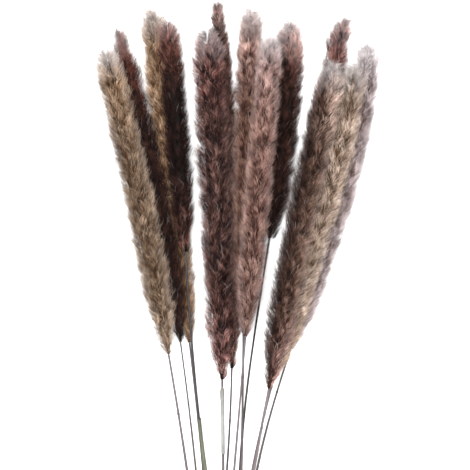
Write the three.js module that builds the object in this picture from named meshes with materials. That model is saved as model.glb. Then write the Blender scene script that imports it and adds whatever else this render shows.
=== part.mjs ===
// A loose bunch of dried pampas grass, lying on a flat surface.
//
// Every grass is a thin stiff stem that ends in a long soft plume. The bunch is open at the plumes and
// drawn together at the cut ends. The grasses are laid down one after another: each one rests on the
// surface and on the grasses under it, and hangs a little where nothing holds it up.
//
// Millimetres. +Y runs from the cut ends to the plume tips, +X across the fan, +Z up. The surface is
// the plane z = 0, and the origin is in the middle of the bunch's footprint on it.

import * as THREE from "three";

// ---- Driving dimensions -------------------------------------------------------------------------

const bareStem = 200; // from the level of the cut ends to the base of the lowest plume
const fanOpening = 1; // factor on every sideways place of the plumes: how far the fan is spread
const plumeFullness = 1; // factor on every plume's half-width
const plumeFlatness = 0.8; // a lying plume's height, as a share of its width
const floorPress = 0.2; // share of its half-height that a plume is pressed flat on the surface
const culmFoot = 1.75; // radius of a full-grown stem at the cut
const culmNeck = 1.15; // radius of a full-grown stem where its plume starts
const plumeNeck = 1.6; // radius of the plume's closed base
const neckTaper = 0.22; // share of a plume's length over which it swells from its neck
const neckFullness = 0.8; // under 1 it swells fast at first, over 1 slowly
const tipTaper = 0.16; // share of a plume's length over which it closes to its tip
const tipBluntness = 2.2; // the higher, the blunter the tip
const endWidth = 0.9; // a plume's width near its ends, as a share of its width in the middle
const jointGap = 0.3; // gap between a stem's end and its plume
const restGap = 0.5; // gap between grasses that lie on each other
const sheathWall = 0.4; // thickness of a dried leaf sheath
const sheathGap = 0.3; // gap between a stem and the sheath round it
const flareStart = 0.67; // how far up a sheath its mouth starts to open, as a share of its length
const droop = 0.0004; // how fast a grass sinks beyond what holds it up, per mm squared
const stiffness = 22; // length over which a grass evens out its bends

// One row for each grass, in the order in which they are laid down. The centre line passes four
// places: the cut end, the neck where the plume starts, the middle of the plume and its tip. Each x is
// measured from the middle of the bunch. The cut's y is measured from the level of the cut ends, and
// the neck's and the tip's from the base of the lowest plume.
// fullness is the plume's half-width, culm the stem's thickness against a full-grown one.
const grasses = [
  { id: "10", cut: [-3, 6], neck: [44, 50], middle: 77, tip: [113, 383], fullness: 10, culm: 0.7 },
  { id: "09", cut: [6, 2], neck: [35, 155], middle: 50, tip: [56, 378], fullness: 12.5, culm: 0.8 },
  { id: "06", cut: [-19, 9], neck: [-4, 20], middle: -6, tip: [-20, 400], fullness: 9, culm: 0.75 },
  { id: "03", cut: [-26, 4], neck: [-48, 47], middle: -69, tip: [-87, 392], fullness: 12, culm: 0.8 },
  { id: "13", cut: [12, 10], neck: [57, 40], middle: 109, tip: [137, 356], fullness: 12, culm: 0.85 },
  { id: "02", cut: [-32, 7], neck: [-57, 48], middle: -84, tip: [-122, 370], fullness: 10.5, culm: 0.75 },
  { id: "07", cut: [1, 0], neck: [8, 57], middle: 10, tip: [17, 392], fullness: 12, culm: 0.9 },
  { id: "05", cut: [-14, 5], neck: [-14, 9], middle: -20, tip: [-30, 370], fullness: 15, culm: 1 },
  { id: "08", cut: [-11, 8], neck: [10, 54], middle: 23, tip: [37, 362], fullness: 12, culm: 0.85 },
  { id: "04", cut: [-12, 1], neck: [-52, 141], middle: -60, tip: [-71, 378], fullness: 11, culm: 0.9 },
  { id: "01", cut: [-36, 3], neck: [-69, 36], middle: -99, tip: [-135, 349], fullness: 13.5, culm: 1 },
  { id: "12", cut: [5, 6], neck: [39, 9], middle: 86, tip: [124, 333], fullness: 13, culm: 0.95 },
  { id: "11", cut: [-1, 4], neck: [34, 1], middle: 66, tip: [101, 336], fullness: 14, culm: 0.95 },
];

// A dried leaf sheath hugs the stem from its foot up to its mouth, where the leaf broke off. The mouth
// is measured down from the plume's neck, and flare is how far it stands off there.
const sheaths = [
  { id: "04", mouth: 171, length: 108, flare: 0.5, colour: 0x6f7350 },
  { id: "05", mouth: 7, length: 70, flare: 1.6, colour: 0xcbb9a4 },
];

const plumeColours = {
  "01": 0x9a7c62,
  "02": 0x4a2f2e,
  "03": 0xa98c68,
  "04": 0x3a2726,
  "05": 0x5c3f3d,
  "06": 0x47302e,
  "07": 0x7b5f58,
  "08": 0x9c8078,
  "09": 0x45302a,
  "10": 0x4e3335,
  "11": 0xa08a76,
  "12": 0xae9675,
  "13": 0xa0898a,
};
const culmColour = 0x6b6166;
const plumeRoughness = 0.95;
const culmRoughness = 0.55;
const sheathRoughness = 0.7;

// ---- How finely the solids are made -------------------------------------------------------------

const ringStep = 20; // distance between the rings of vertices, alike on every grass
const layStep = 2; // distance between the places where heights are worked out
const culmSides = 8;
const plumeSides = 12;
const contactSamples = 24; // places across a section at which a contact is looked for
const closestRings = 4; // least distance between a shared ring and one of a piece's own
const plumeRings = [0.02, 0.05, 0.09, 0.15, 0.88, 0.94, 0.97, 0.99]; // a plume's own, along its length
const evenReach = 3; // evening out looks this many times the stiffness length either way

// ---- Shape of one grass -------------------------------------------------------------------------

// The places of one grass with every driving dimension applied.
function placed(row) {
  const sheath = sheaths.find((one) => one.id === row.id);
  const neckY = bareStem + row.neck[1];
  const tipY = bareStem + row.tip[1];
  const ys = [row.cut[1], neckY, (neckY + tipY) / 2, tipY];
  const xs = [row.cut[0], ...[row.neck[0], row.middle, row.tip[0]].map((x) => x * fanOpening)];
  return { ...row, sheath, cutY: row.cut[1], neckY, tipY, ys, xs, halfWidth: row.fullness * plumeFullness };
}

// Where the centre line lies across the bunch: the cubic through the four places.
function across(grass, y) {
  return grass.xs.reduce((sum, x, i) => {
    const weights = grass.ys.map((other, j) => (i === j ? 1 : (y - other) / (grass.ys[i] - other)));
    return sum + x * weights.reduce((product, weight) => product * weight, 1);
  }, 0);
}

function culmRadius(grass, y) {
  const up = (y - grass.cutY) / (grass.neckY - grass.cutY);
  return grass.culm * THREE.MathUtils.lerp(culmFoot, culmNeck, THREE.MathUtils.clamp(up, 0, 1));
}

// A plume swells quickly from its neck, stays nearly even, and ends in a blunt point.
function plumeRadius(grass, y) {
  const up = THREE.MathUtils.clamp((y - grass.neckY) / (grass.tipY - grass.neckY), 0, 1);
  const swell = Math.sin((Math.PI / 2) * Math.min(up / neckTaper, 1)) ** neckFullness;
  const point = Math.sqrt(1 - Math.max((up - 1) / tipTaper + 1, 0) ** tipBluntness);
  const body = THREE.MathUtils.lerp(endWidth, 1, Math.sin(Math.PI * up)) * swell * point;
  return plumeNeck * point + (grass.halfWidth - plumeNeck) * body;
}

const sheathMouth = (grass) => grass.neckY - grass.sheath.mouth;
const sheathFoot = (grass) => sheathMouth(grass) - grass.sheath.length;

// The inside of the sheath follows the stem, and its mouth opens at the top.
function sheathInside(grass, y) {
  const { length, flare } = grass.sheath;
  const open = Math.max(((y - sheathFoot(grass)) / length - flareStart) / (1 - flareStart), 0);
  return culmRadius(grass, y) + sheathGap + flare * open ** 2;
}

function inSheath(grass, y) {
  return grass.sheath && y >= sheathFoot(grass) && y <= sheathMouth(grass);
}

// Half the width and half the height of everything that the grass has at this place. A grass counts
// one step past its ends, so that no contact falls between two steps.
function section(grass, place) {
  const y = THREE.MathUtils.clamp(place, grass.cutY, grass.tipY);
  if (Math.abs(place - y) > layStep) return null;
  if (y > grass.neckY) {
    const wide = plumeRadius(grass, y);
    return { wide, high: wide * plumeFlatness, rests: wide * plumeFlatness * (1 - floorPress) };
  }
  const round = inSheath(grass, y) ? sheathInside(grass, y) + sheathWall : culmRadius(grass, y);
  return { wide: round, high: round, rests: round };
}

// ---- Laying the grasses down --------------------------------------------------------------------

// How far above the lower section's middle the upper one's has to be, for two sections dx apart.
function rise(lower, upper, dx) {
  const from = Math.max(-lower.wide, dx - upper.wide);
  const to = Math.min(lower.wide, dx + upper.wide);
  if (from >= to) return -Infinity;
  let most = -Infinity;
  for (let i = 0; i <= contactSamples; i++) {
    const x = THREE.MathUtils.lerp(from, to, i / contactSamples);
    const top = lower.high * Math.sqrt(Math.max(1 - (x / lower.wide) ** 2, 0));
    const underside = upper.high * Math.sqrt(Math.max(1 - ((x - dx) / upper.wide) ** 2, 0));
    most = Math.max(most, top + underside);
  }
  return most + restGap;
}

function heightOn(grass, y) {
  const place = THREE.MathUtils.clamp((y - grass.cutY) / layStep, 0, grass.heights.length - 1);
  const low = Math.min(Math.floor(place), grass.heights.length - 2);
  return THREE.MathUtils.lerp(grass.heights[low], grass.heights[low + 1], place - low);
}

// The least height of the centre line at this place, over the surface and the grasses laid before.
function leastHeight(grass, y, laid) {
  const own = section(grass, y);
  const held = laid.map((lower) => {
    const under = section(lower, y);
    return under ? heightOn(lower, y) + rise(under, own, across(grass, y) - across(lower, y)) : -Infinity;
  });
  return Math.max(own.rests, ...held);
}

// The line that a springy grass takes: it hangs from each place that holds it up, and its bends are
// evened out. Past its ends the line goes on as straight as it came. Evening out lowers a crest by
// droop times stiffness squared, which is added again.
function settle(grass, laid) {
  const count = Math.ceil((grass.tipY - grass.cutY) / layStep) + 1;
  const places = Array.from({ length: count }, (_, i) => Math.min(grass.cutY + i * layStep, grass.tipY));
  const least = places.map((y) => leastHeight(grass, y, laid));
  const hung = places.map((y) => Math.max(...least.map((z, i) => z - droop * (y - places[i]) ** 2)));
  const reach = Math.ceil((evenReach * stiffness) / layStep);
  grass.heights = hung.map((_, i) => {
    let sum = 0;
    let total = 0;
    for (let step = -reach; step <= reach; step++) {
      const weight = Math.exp(-0.5 * ((step * layStep) / stiffness) ** 2);
      const end = THREE.MathUtils.clamp(i + step, 0, count - 1);
      sum += weight * (2 * hung[end] - hung[THREE.MathUtils.clamp(2 * end - i - step, 0, count - 1)]);
      total += weight;
    }
    return sum / total + droop * stiffness ** 2;
  });
}

// ---- Solids -------------------------------------------------------------------------------------

// The rings of a piece: its two ends, its own places, and the steps that every grass shares.
function ringsBetween(from, to, own = []) {
  const shared = [];
  for (let y = Math.ceil(from / ringStep) * ringStep; y < to; y += ringStep) shared.push(y);
  const all = [from, ...own, to];
  const kept = shared.filter((y) => all.every((other) => Math.abs(other - y) > closestRings));
  return [...all, ...kept].sort((a, b) => a - b);
}

// Turns a profile of (radius, y) round the Y axis and bends it onto the grass's centre line. What
// would reach below the surface is pressed flat on it.
function bentLathe(grass, profile, sides, flatness) {
  const geometry = new THREE.LatheGeometry(profile, sides);
  const position = geometry.getAttribute("position");
  for (let i = 0; i < position.count; i++) {
    const y = position.getY(i);
    const z = Math.max(position.getZ(i) * flatness + heightOn(grass, y), 0);
    position.setXYZ(i, position.getX(i) + across(grass, y), y, z);
  }
  geometry.computeVertexNormals();
  return geometry;
}

function piece(name, geometry, colour, roughness) {
  const material = new THREE.MeshStandardMaterial({ color: colour, roughness, metalness: 0 });
  const mesh = new THREE.Mesh(geometry, material);
  mesh.name = name;
  return mesh;
}

function stem(grass) {
  const top = grass.neckY - jointGap;
  const wall = ringsBetween(grass.cutY, top).map((y) => new THREE.Vector2(culmRadius(grass, y), y));
  const profile = [new THREE.Vector2(0, grass.cutY), ...wall, new THREE.Vector2(0, top)];
  return piece(`stem_${grass.id}`, bentLathe(grass, profile, culmSides, 1), culmColour, culmRoughness);
}

function plume(grass) {
  const length = grass.tipY - grass.neckY;
  const own = plumeRings.map((share) => grass.neckY + share * length);
  const rings = ringsBetween(grass.neckY, grass.tipY, own);
  const wall = rings.slice(0, -1).map((y) => new THREE.Vector2(plumeRadius(grass, y), y));
  const profile = [new THREE.Vector2(0, grass.neckY), ...wall, new THREE.Vector2(0, grass.tipY)];
  const geometry = bentLathe(grass, profile, plumeSides, plumeFlatness);
  return piece(`plume_${grass.id}`, geometry, plumeColours[grass.id], plumeRoughness);
}

// An open sleeve: up the outside from the foot to the mouth, and down the inside.
function sheath(grass) {
  const rings = ringsBetween(sheathFoot(grass), sheathMouth(grass));
  const inside = rings.map((y) => new THREE.Vector2(sheathInside(grass, y), y));
  const outside = rings.map((y) => new THREE.Vector2(sheathInside(grass, y) + sheathWall, y));
  const profile = [...outside, ...inside.reverse(), outside[0]];
  const geometry = bentLathe(grass, profile, culmSides, 1);
  return piece(`sheath_${grass.id}`, geometry, grass.sheath.colour, sheathRoughness);
}

// ---- The bunch ----------------------------------------------------------------------------------

const laid = [];
for (const row of grasses) {
  const grass = placed(row);
  settle(grass, laid);
  laid.push(grass);
}

const bunch = new THREE.Group();
for (const grass of laid) {
  bunch.add(stem(grass), plume(grass));
  if (grass.sheath) bunch.add(sheath(grass));
}

const middle = new THREE.Box3().setFromObject(bunch).getCenter(new THREE.Vector3());
bunch.position.set(-middle.x, -middle.y, 0);

const object = new THREE.Group();
object.add(bunch);

export default object;
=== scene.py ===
"""Bundle of thirteen dried pampas grasses on a pale floor: feathery plumes, culms and leaf sheaths."""

import math
from types import SimpleNamespace

import bpy
import numpy as np
from bpy.props import FloatProperty, FloatVectorProperty, IntProperty, PointerProperty
from bpy.types import Operator, Panel, PropertyGroup
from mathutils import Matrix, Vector


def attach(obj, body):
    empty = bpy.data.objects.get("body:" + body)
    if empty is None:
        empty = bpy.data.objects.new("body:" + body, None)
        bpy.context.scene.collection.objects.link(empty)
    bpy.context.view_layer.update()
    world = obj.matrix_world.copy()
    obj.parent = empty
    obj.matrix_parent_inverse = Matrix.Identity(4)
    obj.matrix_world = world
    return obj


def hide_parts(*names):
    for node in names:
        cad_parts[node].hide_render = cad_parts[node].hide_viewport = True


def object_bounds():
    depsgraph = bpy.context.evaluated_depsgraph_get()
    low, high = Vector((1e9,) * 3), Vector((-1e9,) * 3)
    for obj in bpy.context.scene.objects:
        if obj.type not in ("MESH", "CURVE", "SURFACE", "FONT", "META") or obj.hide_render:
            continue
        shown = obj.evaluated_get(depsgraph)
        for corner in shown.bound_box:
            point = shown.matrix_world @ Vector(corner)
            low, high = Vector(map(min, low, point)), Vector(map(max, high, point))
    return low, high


bl_info = {
    "name": "Dried pampas grass bundle",
    "version": (1, 0, 0),
    "blender": (4, 5, 0),
    "location": "3D View > Sidebar > Pampas",
    "description": "Builds the plumes, culms and sheaths of a bundle of dried grass around its frame",
    "category": "Object",
}

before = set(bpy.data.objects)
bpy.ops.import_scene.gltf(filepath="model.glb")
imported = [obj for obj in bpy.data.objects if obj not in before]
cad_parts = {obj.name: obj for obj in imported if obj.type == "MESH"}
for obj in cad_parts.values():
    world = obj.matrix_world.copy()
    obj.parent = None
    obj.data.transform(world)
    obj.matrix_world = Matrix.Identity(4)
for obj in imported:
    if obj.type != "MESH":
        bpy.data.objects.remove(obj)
CAD_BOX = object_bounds()

MM = 0.001
TURN = 2.0 * math.pi
GOLDEN_TURN = TURN * (3.0 - math.sqrt(5.0)) / 2.0
RING_GAP = 0.02 * MM
AXIS_STEPS = 400
LEAST_REACH = 5.0 * MM
CULM_CLEARANCE = 0.12 * MM
BAKE_MAP = "OFBake"
VIEW_SHIFT_X = -3.2 * MM
VIEW_RISE_Y = 358.4 * MM
KEY_PLACE = (-0.22, 0.1, 2.1)
SENSOR_WIDTH = 36.0
FAR_END = 100.0

# What a strand-like solid is: strand, pale bristle, seed husk, the plume's inner body or downy hair.
STRAND, BRISTLE, HUSK, BODY, DOWN = 0.0, 1.0, 2.0, 3.0, 4.0


def grass(colours, seed, **own):
    """One grass: its family of colours, its random seed and what sets it apart from the others."""
    usual = dict(
        swell=1.12,
        tint=(1.0, 1.0, 1.0),
        low=1.0,
        middle=1.0,
        high=1.0,
        # left and right tint the plume's two sides lighter or darker: painted light and shade from the
        # side.
        left=1.0,
        right=1.0,
        clumping=0.6,
        ragged=0.055,
        down=1.0,
        blunt=1.0,
        top_pale=0.5,
        top_start=0.88,
        green=0.0,
        culm_tone=1.0,
    )
    usual.update(own)
    return SimpleNamespace(colours=colours, seed=seed, **usual)


GRASSES = {
    "01": grass(
        "tan", 11, swell=1.14, low=(1.35, 1.45, 1.55), middle=0.8, high=(1.6, 1.6, 1.55),
        right=1.1, clumping=0.45, down=1.7, top_pale=1.0, culm_tone=1.2,
    ),
    "02": grass(
        "purple", 12, swell=1.17, tint=(0.82, 0.74, 0.7), low=0.3, middle=(0.36, 0.33, 0.29),
        high=(1.8, 1.42, 1.3), clumping=0.6, ragged=0.09, blunt=0.2, top_pale=0.4, culm_tone=0.8,
    ),
    "03": grass(
        "golden", 13, swell=1.15, low=(0.65, 0.53, 0.45), middle=(0.77, 0.67, 0.57),
        high=(1.0, 0.95, 0.9), right=0.95, clumping=0.5, top_pale=0.9, culm_tone=0.8,
    ),
    "04": grass(
        "dark", 14, swell=1.13, low=(2.4, 2.2, 2.1), middle=(0.38, 0.32, 0.31),
        high=(5.1, 4.3, 4.1), right=1.1, clumping=0.6, ragged=0.09, down=0.6, blunt=0.8,
        top_pale=0.35, culm_tone=0.35,
    ),
    "05": grass(
        "red_brown", 15, swell=1.16, low=(1.6, 1.4, 1.42), middle=(0.7, 0.66, 0.64),
        high=(1.5, 1.2, 1.17), left=1.15, right=0.85, clumping=0.55, ragged=0.09, top_pale=0.6,
        culm_tone=1.1,
    ),
    "06": grass(
        "dark", 16, swell=1.16, tint=(3.4, 3.7, 3.8), low=(2.1, 2.4, 2.4), middle=0.85,
        clumping=0.6, ragged=0.09, down=0.6, blunt=0.25, top_pale=0.2, culm_tone=0.5,
    ),
    "07": grass(
        "pink_brown", 17, swell=1.12, tint=(0.94, 0.9, 0.9), low=(0.48, 0.38, 0.36),
        middle=(0.64, 0.59, 0.55), high=(1.75, 1.98, 2.18), clumping=0.45, top_pale=1.0,
    ),
    "08": grass(
        "pink_brown", 18, swell=1.14, tint=(0.9, 0.88, 0.93), low=0.82, middle=(0.92, 0.88, 0.85),
        high=(1.55, 1.74, 1.9), clumping=0.5, down=1.6, top_pale=1.0, culm_tone=1.3,
    ),
    "09": grass(
        "red_brown", 19, swell=1.15, tint=(0.95, 0.88, 0.84), low=(0.07, 0.06, 0.055),
        middle=(0.17, 0.135, 0.115), high=(2.2, 1.8, 1.6), left=0.8, right=1.6, clumping=0.55,
        ragged=0.09, down=0.8, top_pale=0.8, top_start=0.78, culm_tone=0.35,
    ),
    "10": grass(
        "purple", 20, swell=1.35, tint=(1.75, 1.75, 1.85), high=1.6, clumping=0.6, ragged=0.12,
        blunt=0.8, top_pale=0.5, culm_tone=0.8,
    ),
    "11": grass(
        "beige", 21, swell=1.17, tint=(1.07, 1.07, 1.07), low=(1.0, 0.84, 0.93),
        middle=(0.5, 0.44, 0.42), high=(1.7, 1.78, 1.85), left=(0.24, 0.19, 0.18), right=1.3,
        clumping=0.5, blunt=0.7, top_pale=0.95, green=0.8, culm_tone=1.5,
    ),
    "12": grass(
        "golden", 22, swell=1.18, low=1.2, middle=(0.91, 0.95, 1.05), high=(0.68, 0.68, 0.74),
        right=1.1, clumping=0.4, down=1.8, top_pale=0.9, culm_tone=1.2,
    ),
    "13": grass(
        "pink_grey", 23, swell=1.18, tint=(0.95, 0.87, 0.86), low=0.92, middle=0.68,
        high=(1.2, 1.3, 1.35), right=1.05, clumping=0.4, down=1.8, blunt=0.8, top_pale=1.0,
        culm_tone=0.9,
    ),
}


# ---------------------------------------------------------------- settings


def colour(name, linear, description):
    """A colour property with its default."""
    return FloatVectorProperty(
        name=name,
        description=description,
        default=linear,
        subtype="COLOR",
        size=3,
        min=0.0,
        max=1.0,
    )


def length(name, value, description):
    """A length property in metres with its default."""
    return FloatProperty(
        name=name, description=description, default=value, min=0.0, subtype="DISTANCE", unit="LENGTH"
    )


def share(name, value, description, most=1.0):
    """A share property with its default."""
    return FloatProperty(name=name, description=description, default=value, min=0.0, max=most)


def angle(name, degrees, description):
    """An angle property with its default."""
    turn = math.radians(degrees)
    return FloatProperty(name=name, description=description, default=turn, subtype="ANGLE", unit="ROTATION")


def count(name, value, description, least=0):
    """A whole number property with its default."""
    return IntProperty(name=name, description=description, default=value, min=least)


class PlumeShape(PropertyGroup):
    """Sizes of the strands that make up a plume."""

    strand_length: length("Strand length", 12.5 * MM, "Length of a usual strand of the plume")
    strand_radius: length("Strand radius", 0.155 * MM, "Radius of a strand at its root")
    strand_lean: angle("Strand lean", 37.0, "Angle between a strand and the plume's centre line")
    strands_per_tuft: count("Strands per tuft", 3, "Strands that share one pointed tuft", 1)
    tuft_area: FloatProperty(
        name="Tuft area",
        description="Surface of the plume that one tuft covers",
        default=3.5 * MM * MM,
        subtype="NONE",
        unit="AREA",
    )
    tuft_width: length("Tuft width", 0.5 * MM, "Half of the width that a tuft's roots take up")
    splay: angle("Splay", 19.0, "How far tufts turn aside, round the plume")
    tufts_per_branch: count("Tufts per branch", 13, "Tufts that gather in one branch", 1)
    brush: length("Brush", 26.0 * MM, "How far down the strands of the top fill it like a brush")
    tufts: count("Most tufts", 5200, "Most tufts on one plume", 1)
    crown: length("Crown", 16.0 * MM, "Height of the rounded crown at a plume's top")
    shoulder: length("Shoulder", 55.0 * MM, "How far below the top a plume is at its full width")
    down_radius: length("Down radius", 0.07 * MM, "Radius of a downy hair at its root")
    down: count("Down", 1200, "Downy hairs on a plume")
    bristle_length: length("Bristle length", 20.0 * MM, "Length of a pale bristle")
    bristles: count("Bristles", 100, "Pale bristles on a plume")
    husks: count("Seed husks", 260, "Seed husks on a plume")
    husk_length: length("Husk length", 2.2 * MM, "Length of a seed husk")
    body_share: share("Body share", 0.5, "Width of the inner body as a share of the plume's width")
    floor_clearance: length("Floor clearance", 0.3 * MM, "Room between the lowest strand and the floor")


# Each family's colour at the strand roots (partly the roots' own darker colour, partly painted shade
# between the tufts), along the strands and at their ends.
PLUME_FAMILIES = {
    "tan": ((0.063, 0.029, 0.012), (0.17, 0.096, 0.054), (0.38, 0.28, 0.2)),
    "purple": ((0.0067, 0.0023, 0.002), (0.046, 0.017, 0.015), (0.16, 0.081, 0.065)),
    "golden": ((0.11, 0.053, 0.024), (0.34, 0.22, 0.14), (0.59, 0.47, 0.36)),
    "dark": ((0.0031, 0.0012, 0.00093), (0.02, 0.0079, 0.006), (0.074, 0.036, 0.029)),
    "red_brown": ((0.013, 0.0042, 0.0034), (0.085, 0.035, 0.029), (0.27, 0.16, 0.14)),
    "pink_brown": ((0.052, 0.019, 0.012), (0.22, 0.11, 0.086), (0.46, 0.31, 0.25)),
    "pink_grey": ((0.15, 0.093, 0.08), (0.38, 0.32, 0.31), (0.62, 0.56, 0.57)),
    "beige": ((0.037, 0.015, 0.0089), (0.16, 0.092, 0.065), (0.43, 0.32, 0.26)),
}
# The deep colour is partly the roots' own darker colour and partly painted shade between the tufts.
SHADES = {"deep": " between its tufts", "body": "'s strands", "light": "'s strand ends"}


class PlumeColours(PropertyGroup):
    """Colours of the plumes. The colours of each family are added below."""

    top: colour("Plume tops", (0.61, 0.58, 0.58), "Silky ends at the top of a plume")
    husk: colour("Seed husks", (0.044, 0.016, 0.01), "Seed husks")


def add_family_colours():
    """Gives the plumes' colours one property for each shade of each family."""
    for family, shades in PLUME_FAMILIES.items():
        name = family.replace("_", " ").capitalize()
        for (part, where), shade in zip(SHADES.items(), shades):
            made = colour(f"{name}, {part}", shade, f"{name} plume{where}")
            PlumeColours.__annotations__[f"{family}_{part}"] = made


add_family_colours()


class CulmShape(PropertyGroup):
    """Sizes of a culm's details."""

    sides: count("Sides", 16, "Facets round a culm", 8)
    rib_depth: share("Rib depth", 0.035, "Depth of the fine ribs as a share of the radius")
    joint_swell: share("Joint swell", 0.22, "How far a joint stands out as a share of the radius")
    joint_length: length("Joint length", 3.0 * MM, "Length of a swollen joint")
    hollow: share("Hollow", 0.5, "Width of the hollow in a cut end as a share of the culm's width")
    hollow_depth: length("Hollow depth", 5.0 * MM, "Depth of the hollow in a cut end")
    cut_slope: share("Cut slope", 0.7, "Slope of the cut end", 2.0)


class CulmColours(PropertyGroup):
    """Colours of the culms and the sheaths."""

    grey: colour("Culm grey", (0.07, 0.064, 0.063), "Usual colour of a dry culm")
    purple: colour("Culm purple", (0.05, 0.034, 0.039), "Purple tint along a culm")
    green: colour("Culm green", (0.09, 0.1, 0.055), "Green tint low on a culm")
    scar: colour("Joint scar", (0.03, 0.02, 0.015), "Dark ring at a joint")
    pith: colour("Pith", (0.3, 0.26, 0.19), "Inside of a cut end")
    sheath_green: colour("Green sheath", (0.065, 0.072, 0.04), "Leaf sheath that is still green")
    sheath_edge: colour("Green sheath edge", (0.05, 0.036, 0.03), "Dry edge of the green sheath")
    paper: colour("Papery sheath", (0.21, 0.21, 0.2), "Thin dry sheath")
    paper_edge: colour("Papery sheath edge", (0.12, 0.1, 0.085), "Torn edge of the papery sheath")


class SheathShape(PropertyGroup):
    """Sizes of the leaf sheaths."""

    thickness: length("Leaf thickness", 0.16 * MM, "Thickness of the leaf")
    overlap: angle("Overlap", 55.0, "How far one edge of the leaf wraps over the other")
    rib_depth: length("Rib depth", 0.05 * MM, "Height of the ribs along the leaf")
    ribs: count("Ribs", 13, "Ribs round the leaf", 1)
    tear: length("Tear", 7.0 * MM, "How far the torn mouth runs down")


class StageSettings(PropertyGroup):
    """Floor, light and camera."""

    floor_size: length("Floor size", 40.0, "Side of the floor")
    floor_colour: colour("Floor colour", (0.9, 0.9, 0.9), "Colour of the floor")
    sky: FloatProperty(name="Sky", description="Strength of the even light", default=1.28, min=0.0)
    key_power: FloatProperty(
        name="Key light", description="Power of the main soft light", default=92.0, unit="POWER"
    )
    key_size: length("Key light size", 1.3, "Side of the main soft light")
    camera_height: length("Camera height", 3.0, "Height of the camera above the bundle")
    view_width: length("View width", 0.484, "Width that the camera takes in at the bundle")


# ---------------------------------------------------------------- reading the frame


def rings_of(node):
    """The rings of a bent solid from its lower end up: places along Y, middles, half widths and heights."""
    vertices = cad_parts[node].data.vertices
    points = np.zeros(len(vertices) * 3, np.float32)
    vertices.foreach_get("co", points)
    points = points.reshape(-1, 3).astype(float)
    points = points[np.argsort(points[:, 1], kind="stable")]
    cuts = np.where(np.diff(points[:, 1]) > RING_GAP)[0] + 1
    groups = np.split(points, cuts)
    low = np.array([g.min(0) for g in groups])
    high = np.array([g.max(0) for g in groups])
    return SimpleNamespace(
        y=(low[:, 1] + high[:, 1]) / 2.0,
        x=(low[:, 0] + high[:, 0]) / 2.0,
        half=(high[:, 0] - low[:, 0]) / 2.0,
        top=high[:, 2],
        bottom=low[:, 2],
    )


def smooth_between(at, stations, values):
    """Values between the stations on a smooth curve through all of them."""
    slopes = np.gradient(values, stations)
    k = np.clip(np.searchsorted(stations, at) - 1, 0, len(stations) - 2)
    gap = stations[k + 1] - stations[k]
    t = (at - stations[k]) / gap
    t2, t3 = t * t, t * t * t
    return (
        (2 * t3 - 3 * t2 + 1) * values[k]
        + (t3 - 2 * t2 + t) * gap * slopes[k]
        + (3 * t2 - 2 * t3) * values[k + 1]
        + (t3 - t2) * gap * slopes[k + 1]
    )


def unit(v):
    """Vectors scaled to length one."""
    return v / np.maximum(np.linalg.norm(v, axis=-1, keepdims=True), 1e-12)


class CentreLine:
    """A bent solid's centre line by arc length, with its side and upward directions and its half widths."""

    CROWN_REACH = 1.7
    CROWN_ROUNDNESS = 2.4

    def __init__(self, node):
        rings = rings_of(node)
        full = rings.half > 0.5 * rings.half.max()
        self.flatness = float(np.max((rings.top - rings.bottom)[full] / (2.0 * rings.half[full])))
        middle = rings.top - self.flatness * rings.half
        y = np.linspace(rings.y[0], rings.y[-1], AXIS_STEPS)
        x = smooth_between(y, rings.y, rings.x)
        z = smooth_between(y, rings.y, middle)
        self.points = np.stack([x, y, z], 1)
        self.along = unit(np.gradient(self.points, axis=0))
        self.side = unit(np.cross(self.along, np.array([0.0, 0.0, 1.0])))
        self.up = np.cross(self.side, self.along)
        self.half = np.interp(y, rings.y, rings.half) * self.side[:, 0]
        steps = np.linalg.norm(np.diff(self.points, axis=0), axis=1)
        self.s = np.concatenate([[0.0], np.cumsum(steps)])
        self.length = float(self.s[-1])

    def at(self, s):
        """Places, side directions, upward directions and half widths at distances s along the line."""
        inside = np.clip(s, 0.0, self.length)
        beyond = (s - inside)[..., None]
        place, side, up, along = (
            np.stack([np.interp(inside, self.s, table[:, i]) for i in range(3)], -1)
            for table in (self.points, self.side, self.up, self.along)
        )
        return place + along * beyond, side, up, np.interp(inside, self.s, self.half)

    def reach(self, s, look, shape):
        """Half widths at distances s, kept wide into a rounded crown at the top."""
        half = np.interp(s, self.s, self.half)
        start = self.length - shape.crown
        narrow, wide = np.interp([start, self.length - shape.shoulder], self.s, self.half)
        past = np.clip((s - start) / (self.CROWN_REACH * shape.crown), 0.0, 1.0)
        dome = (narrow + (wide - narrow) * look.blunt) * np.sqrt(1.0 - past**self.CROWN_ROUNDNESS)
        climb = np.clip((s - self.length + shape.shoulder) / (shape.shoulder - shape.crown), 0.0, 1.0)
        return np.maximum(half, np.where(climb > 0.0, half + (dome - half) * climb, half))


# ---------------------------------------------------------------- building meshes


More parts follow.
